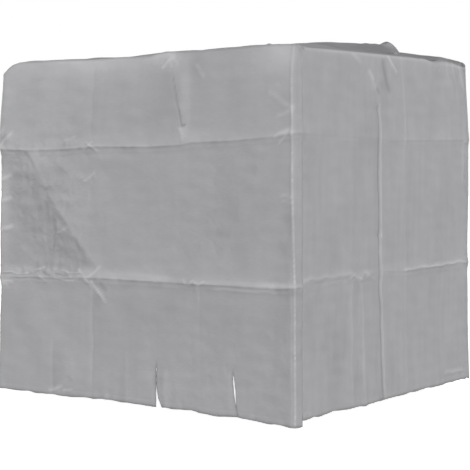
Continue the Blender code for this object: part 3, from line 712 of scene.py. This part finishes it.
def closed_sheet(name, outer, inner, gone, cut_pattern, tone, rumple):
    """Outer faces for each cell that isn't cut away, inner faces for each block of STEP x STEP
    cells the other way round, and one rim face for each STEP edges. cut_pattern is where each
    point lies on the flat cloth, in metres, and becomes the UV map."""
    rows, columns = outer.shape[:2]
    number = np.arange(rows * columns).reshape(rows, columns)
    coarse = gone[::STEP, ::STEP]
    inner_shape = number[::STEP, ::STEP].shape
    inner_number = rows * columns + np.arange(math.prod(inner_shape)).reshape(inner_shape)

    def joined(first, second, size):
        return np.concatenate([first.reshape(-1, size), second[::STEP, ::STEP].reshape(-1, size)])

    def cells(index, keep):
        ring = [index[:-1, :-1], index[:-1, 1:], index[1:, 1:], index[1:, :-1]]
        return np.stack(ring, axis=-1)[keep]

    faces = cells(number, ~gone).tolist() + cells(inner_number, ~coarse)[:, ::-1].tolist()
    padded = np.pad(~coarse, 1)
    here = padded[1:-1, 1:-1]
    # Each side of a block: which block lies beyond it, and its corners at the side's two ends
    sides = ((padded[:-2, 1:-1], (0, 0), (0, 1)), (padded[2:, 1:-1], (1, 1), (1, 0)),
             (padded[1:-1, :-2], (1, 0), (0, 0)), (padded[1:-1, 2:], (0, 1), (1, 1)))
    for beyond, start, end in sides:
        for block in np.argwhere(here & ~beyond):
            line = [tuple(block * STEP + np.array(start) * (STEP - t) + np.array(end) * t)
                    for t in range(STEP, -1, -1)]
            ends = [int(inner_number[tuple(block + corner)]) for corner in (start, end)]
            faces.append([int(number[place]) for place in line] + ends)
    points, flat = joined(outer, inner, 3), joined(cut_pattern, cut_pattern, 2)
    corner = np.concatenate([np.array(face) for face in faces])
    used, corner = np.unique(corner, return_inverse=True)
    counts = np.array([len(face) for face in faces])
    starts = np.concatenate([[0], np.cumsum(counts)[:-1]])
    mesh = bpy.data.meshes.new(name)
    mesh.vertices.add(len(used))
    mesh.vertices.foreach_set("co", points[used].ravel())
    mesh.loops.add(len(corner))
    mesh.loops.foreach_set("vertex_index", corner)
    mesh.polygons.add(len(faces))
    mesh.polygons.foreach_set("loop_start", starts)
    mesh.uv_layers.new(name="cloth").data.foreach_set("uv", flat[used][corner].ravel())
    for field, values in (("tone", tone), ("rumple", rumple)):
        both = joined(values, 0.0 * values, 1)[used].astype(np.float32)
        mesh.attributes.new(field, "FLOAT", "POINT").data.foreach_set("value", both.ravel())
    mesh.update(calc_edges=True)
    mesh.validate()
    mesh.shade_smooth()
    mesh.set_sharp_from_angle(angle=SHARP_FROM)
    print(f"{name}: {int((counts - 2).sum())} triangles")
    return add(name, mesh)


def sheet_from_box(name, box_points, fields, gone, cut_pattern, rim_distance):
    """Both faces of a panel: the rounded box moved out by the relief, and the same less the
    cloth's thickness and the slack, which grows with the distance from a rim."""
    relief, tone, rumple = fields
    surface, out = rounded_box(box_points)
    depth = CLOTH + SLACK * ease(rim_distance / SLACK_FADE)
    outer = settle(surface + out * relief[..., None])
    inner = settle(surface + out * (relief - depth)[..., None])
    return closed_sheet(name, outer, inner, gone, cut_pattern, tone, rumple)


# %% [markdown]
# The body panel is the long strip. Its grid runs up the front, over the top and down the back.
# At each slit a block of cells is left out, and the columns on both sides follow the slit's two
# lips, each pulling the cloth beside it along a little.

# %% The body panel
def slit_column(columns, table):
    """The column that stands for a slit's left lip: the nearest that the inner face has too."""
    return STEP * int(round(np.argmin(np.abs(columns - table[0][1])) / STEP))


def slit_shift(columns, places, heights):
    """Each column moves with the nearer lip of a slit, by an ease with its distance from it, and
    not at all above the slit."""
    for table in SLITS:
        left = slit_column(columns, table)
        share = np.clip((SLIT_TOP - heights[:, left:left + 1]) / (SLIT_TOP + HEIGHT), 0.0, 1.0)
        below = ease((SLIT_TOP + 0.050 - heights[:, left:left + 1]) / 0.050)
        low, high = columns[left], columns[left + STEP]
        squeeze = np.clip((columns - low) / (high - low), 0.0, 1.0)
        left_move = (read(table, share, 1) - low) * below
        right_move = (read(table, share, 2) - high) * below
        past = np.maximum(np.abs(columns - 0.5 * (low + high)) - 0.5 * (high - low), 0.0)
        near = ease(1.0 - past / SLIT_PULL)
        places = places + (left_move * (1.0 - squeeze) + right_move * squeeze) * near
    return places


def make_body_panel():
    """Front, top and back in one strip, with the slits' cells cut away."""
    rows = WALL_ROWS[::-1]
    front_z = wall_heights("front", FRONT_COLUMNS, rows)
    back_z = wall_heights("back", FRONT_COLUMNS, BACK_ROWS)
    front_half, back_half = (LENGTH / 2 + wrap_width(z) - SEAM_GAP for z in (front_z, back_z))
    front_x = close_up(FRONT_COLUMNS, STRIP_FOLD, WIDEST, front_half)
    front_x = slit_shift(FRONT_COLUMNS, front_x, front_z)
    back_x = close_up(FRONT_COLUMNS, STRIP_FOLD, WIDEST, back_half)
    top_x, top_y = np.meshgrid(back_x[0], TOP_ROWS)
    cell_rows = len(rows) + len(BACK_ROWS) + len(TOP_ROWS) - 1
    gone = np.zeros((cell_rows, len(FRONT_COLUMNS) - 1), dtype=bool)
    slit_rows = STEP * (int(np.argmin(np.abs(rows - SLIT_TOP))) // STEP)
    lips = np.full(front_x.shape, 1.0)
    for table in SLITS:
        left = slit_column(FRONT_COLUMNS, table)
        gone[:slit_rows, left:left + STEP] = True
        beside = np.minimum(np.abs(front_x - front_x[:, left:left + 1]),
                            np.abs(front_x - front_x[:, left + STEP:left + STEP + 1]))
        lips = np.minimum(lips, np.hypot(beside, np.maximum(front_z - SLIT_TOP, 0.0)))
    top = np.stack([top_x, top_y, np.zeros_like(top_x)], axis=-1)
    box_points = np.concatenate([strip_wall(-1, front_x, front_z), top,
                                 strip_wall(1, back_x, back_z)])
    front = wall_relief("front", front_half, front_x, front_z)
    flare = LIP_FLARE * bell(lips, 0.012) * ease((SLIT_TOP - front_z) / 0.10)
    # Painted shade darkens the cloth along each slit's lips, unevenly
    uneven_lip_shade = 0.8 + 0.5 * ripple(0 * lips, front_z, 0.014, 71)
    front = (front[0] + flare, front[1] - 1.1 * uneven_lip_shade * bell(lips, 0.0036), front[2])
    fields = [np.concatenate(parts) for parts in
              zip(front, top_relief(top_x, top_y), wall_relief("back", back_half, back_x, back_z))]
    flat = np.stack([np.concatenate([front_x, top_x, back_x]),
                     np.concatenate([front_z, top_y + WIDTH / 2, WIDTH - back_z])], axis=-1)
    front_rim = np.minimum(np.minimum(front_half - np.abs(front_x), lips),
                           front_z - read(HEMS["front"], front_x))
    back_rim = np.minimum(back_half - np.abs(back_x), back_z - read(HEMS["back"], back_x))
    rim = np.concatenate([front_rim, LENGTH / 2 - np.abs(top_x), back_rim])
    return sheet_from_box("body_cloth", box_points, fields, gone, flat, rim)


# The number of rows has to fit the inner face's coarser grid
extra = (len(WALL_ROWS) + len(BACK_ROWS) + len(TOP_ROWS) - 1) % STEP
if extra:
    TOP_ROWS = np.interp(np.linspace(0, 1, len(TOP_ROWS) + STEP - extra),
                         np.linspace(0, 1, len(TOP_ROWS)), TOP_ROWS)
body_cloth = make_body_panel()

# %% [markdown]
# Each end panel is one wall, sewn to the strip along both upright edges and along its top edge. It
# covers the outer half of each rounded edge, and the strip covers the other half, so a narrow
# rounded band shows beside every seam.

# %% The end panels
FAR_FROM, FAR_FADE = 0.22, 0.20  # the right end's top edge changes from here, over this


def make_end_panel(name, wall, side):
    """One end wall. Its grid is turned round at the other end, so that its outer face stays out."""
    heights = wall_heights(wall, END_COLUMNS, WALL_ROWS)
    heights[0] = -SEAM_GAP
    half = WIDTH / 2 - wrap_width(heights) - SEAM_GAP
    y = close_up(END_COLUMNS, END_FOLD, WIDTH / 2, half)
    box_points = np.stack([np.full_like(y, side * LENGTH / 2), y, heights], axis=-1)
    relief, tone, rumple = wall_relief(wall, half, y, heights)
    relief = relief - SEAM_DIP * bell(heights, SEAM_WIDTH)
    # Painted light on the top edge: a painted highlight along it, and towards its far end a band of
    # painted shade with a painted highlight line under it
    far = ease((y - FAR_FROM) / FAR_FADE) if side > 0 else 0.5
    dark_from = heights + 0.013 + 0.006 * ease((y - 0.42) / 0.06)
    tone = (tone + (1.0 - far) * 1.10 * bell(heights + 0.006, 0.007) + 0.34 * bell(heights, 0.028)
            + far * (0.9 * bell(heights + 0.021, 0.004) - 2.2 * ease(0.5 + dark_from / 0.003)))
    flat = np.stack([heights, -side * y], axis=-1)  # cut with the roll's threads running up
    rim = np.minimum(np.minimum(half - np.abs(y), -heights), heights - read(HEMS[wall], y))
    gone = np.zeros((len(WALL_ROWS) - 1, len(END_COLUMNS) - 1), dtype=bool)
    order = (slice(None, None, -1), slice(None, None, side))
    fields = [field[order] for field in (relief, tone, rumple)]
    return sheet_from_box(name, box_points[order], fields, gone, flat[order], rim[order])


right_cloth = make_end_panel("right_end_cloth", "right", 1)
left_cloth = make_end_panel("left_end_cloth", "left", -1)

# %% [markdown]
# Outdoor covers are sewn from polyester with a thin coating. It makes the grey a little satiny,
# shows the fine weave under it from near, and whitens where it cracks along a hard fold. So all
# panels have one grey, with a slow mottling, paler pressed lines, a weave and a crinkle. The
# pressed lines are paler partly from whitened coating and partly from painted highlight, and the
# tone also carries painted shade.

# %% The coated cloth
GREY = (0.340, 0.3395, 0.3500)
TONE_SHARE = 0.22  # a point of tone 1 is this much paler
THREAD_RUN = (34.0, 170.0, 1.0)  # grain along and across the roll, in specks a metre
THREADS = 420.0  # how fine the weave is
FACET_BUMP, CRINKLE_BUMP, WEAVE_BUMP = 0.0016, 0.0030, 0.00005


def node(tree, kind, operation=None, *values, **named):
    """A new shader node. Each of its inputs is set to a value or linked to another's output."""
    made = tree.nodes.new("ShaderNode" + kind)
    if operation:
        made.operation = operation
    for key, value in list(enumerate(values)) + list(named.items()):
        if isinstance(value, bpy.types.NodeSocket):
            tree.links.new(value, made.inputs[key])
        else:
            made.inputs[key].default_value = value
    return made


def new_finish(name, roughness, specular):
    """A material with its node tree and its shader."""
    material = bpy.data.materials.new(name)
    material.use_nodes = True
    shader = material.node_tree.nodes["Principled BSDF"]
    shader.inputs["Roughness"].default_value = roughness
    shader.inputs["Specular IOR Level"].default_value = specular
    return material, material.node_tree, shader


def coated_cloth():
    """Principled shader: grey x mottling x (1 + TONE_SHARE x tone). Bump = facets and crinkles,
    scaled by the crumpled value, + a weave along the cut cloth."""
    material, tree, shader = new_finish("coated_cloth", 0.5, 0.30)

    def field(name):
        found = node(tree, "Attribute")
        found.attribute_name = name
        return found.outputs["Fac"]

    def spread(noise, low, high, start, end):
        """Map what a noise gives from low and high to start and end."""
        span = {"From Min": low, "From Max": high, "To Min": start, "To Max": end}
        return node(tree, "MapRange", Value=noise.outputs["Fac"], **span).outputs["Result"]

    def product(first, second):
        return node(tree, "Math", "MULTIPLY", first, second).outputs[0]

    place = node(tree, "TexCoord")
    solid, flat = place.outputs["Object"], place.outputs["UV"]
    mottle = node(tree, "TexNoise", Vector=solid, Scale=5.0, Detail=6.0, Roughness=0.62)
    run = node(tree, "Mapping", Vector=flat, Scale=THREAD_RUN)
    grain = node(tree, "TexNoise", Vector=run.outputs["Vector"], Scale=1.0, Detail=3.0,
                 Roughness=0.75)
    uneven = product(spread(mottle, 0.30, 0.70, 0.965, 1.035),
                     spread(grain, 0.30, 0.70, 0.978, 1.022))
    toned = node(tree, "Math", "MULTIPLY_ADD", field("tone"), TONE_SHARE, 1.0)
    colour = node(tree, "VectorMath", "SCALE", GREY, Scale=product(uneven, toned.outputs[0]))
    tree.links.new(colour.outputs[0], shader.inputs["Base Color"])
    sheen = node(tree, "TexNoise", Vector=solid, Scale=24.0, Detail=4.0, Roughness=0.6)
    tree.links.new(spread(sheen, 0.0, 1.0, 0.48, 0.64), shader.inputs["Roughness"])

    threads, cross = (node(tree, "TexWave", Vector=flat, Scale=THREADS, Distortion=0.4)
                      for _ in range(2))
    cross.bands_direction = "Y"
    weave = node(tree, "Math", "ADD", threads.outputs["Fac"], cross.outputs["Fac"]).outputs[0]
    crinkle = node(tree, "TexNoise", Vector=solid, Scale=22.0, Detail=5.0, Roughness=0.56,
                   Distortion=0.6)
    facets = node(tree, "TexVoronoi", Vector=solid, Scale=26.0, Randomness=1.0)
    crumpled = field("rumple")
    bump = None
    for height, reach in ((product(facets.outputs["Distance"], crumpled), FACET_BUMP),
                          (product(crinkle.outputs["Fac"], crumpled), CRINKLE_BUMP),
                          (weave, WEAVE_BUMP)):
        under = {"Normal": bump.outputs["Normal"]} if bump else {}
        bump = node(tree, "Bump", Strength=1.0, Distance=reach, Height=height, **under)
    tree.links.new(bump.outputs["Normal"], shader.inputs["Normal"])
    return material


cloth_material = coated_cloth()
for panel in (body_cloth, right_cloth, left_cloth):
    panel.data.materials.append(cloth_material)

# %% [markdown]
# The photograph is a catalogue picture: the cover stands cut out on white, under one large soft
# light from in front, with a little from all round. Both walls are equally bright and the top is
# darker, so the light comes from low in front, between the two walls. The floor is plain and pale.

# %% Floor and light
# Columns: name, turn from the front's side, height above the horizon, strength, width in the sky.
LIGHTS = [
    ("key", 45.0, 20.0, 0.97, 36.0),
    ("back_fill", 150.0, 6.0, 0.36, 60.0),
    ("left_fill", 300.0, 6.0, 0.36, 60.0),
    ("behind_fill", 225.0, 5.0, 0.30, 60.0),
]
WHITE = (1.0, 1.0, 1.0, 1.0)
SKY = 0.09  # what the white all round adds to the lamps
FLOOR_REACH = 30.0
FLOOR_GLOW = 1.00  # only the camera sees it, so it whitens the floor and lights nothing

floor_mesh = bpy.data.meshes.new("floor")
floor_corners = [(x * FLOOR_REACH, y * FLOOR_REACH, GROUND_Z)
                 for x, y in ((-1, -1), (1, -1), (1, 1), (-1, 1))]
floor_mesh.from_pydata(floor_corners, [], [(0, 1, 2, 3)])
floor_mesh.update()
floor = add("floor", floor_mesh)
floor_finish, floor_tree, floor_shader = new_finish("pale_floor", 0.9, 0.1)
floor_shader.inputs["Base Color"].default_value = (0.75, 0.75, 0.75, 1.0)
floor_shader.inputs["Emission Color"].default_value = WHITE
seen_first = node(floor_tree, "LightPath").outputs["Is Camera Ray"]
glow = node(floor_tree, "Math", "MULTIPLY", seen_first, FLOOR_GLOW)
floor_tree.links.new(glow.outputs[0], floor_shader.inputs["Emission Strength"])
floor_mesh.materials.append(floor_finish)

for name, turn, rise, strength, width in LIGHTS:
    lamp_data = bpy.data.lights.new(name, "SUN")
    lamp_data.energy = strength * math.pi
    lamp_data.angle = math.radians(width)
    lamp = add(name, lamp_data)
    lamp.rotation_euler = (math.pi / 2 - math.radians(rise), 0.0, math.radians(turn))

world = bpy.data.worlds.new("studio")
bpy.context.scene.world = world
world.use_nodes = True
tree = world.node_tree
backdrop = tree.nodes["Background"]
backdrop.inputs["Color"].default_value = WHITE
backdrop.inputs["Strength"].default_value = SKY
seen = node(tree, "Background", Color=WHITE, Strength=1.0)
both = node(tree, "MixShader", None, node(tree, "LightPath").outputs["Is Camera Ray"],
            backdrop.outputs[0], seen.outputs[0])
tree.links.new(both.outputs[0], tree.nodes["World Output"].inputs["Surface"])
bpy.context.scene.view_settings.view_transform = "Standard"

# %% Handing over
for panel, part_name, cut in ((body_cloth, "body_panel", (1.22, 3.30)),
                              (right_cloth, "right_end_panel", (1.08, 1.11)),
                              (left_cloth, "left_end_panel", (1.08, 1.11))):
    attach(panel, "root")
    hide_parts(part_name)
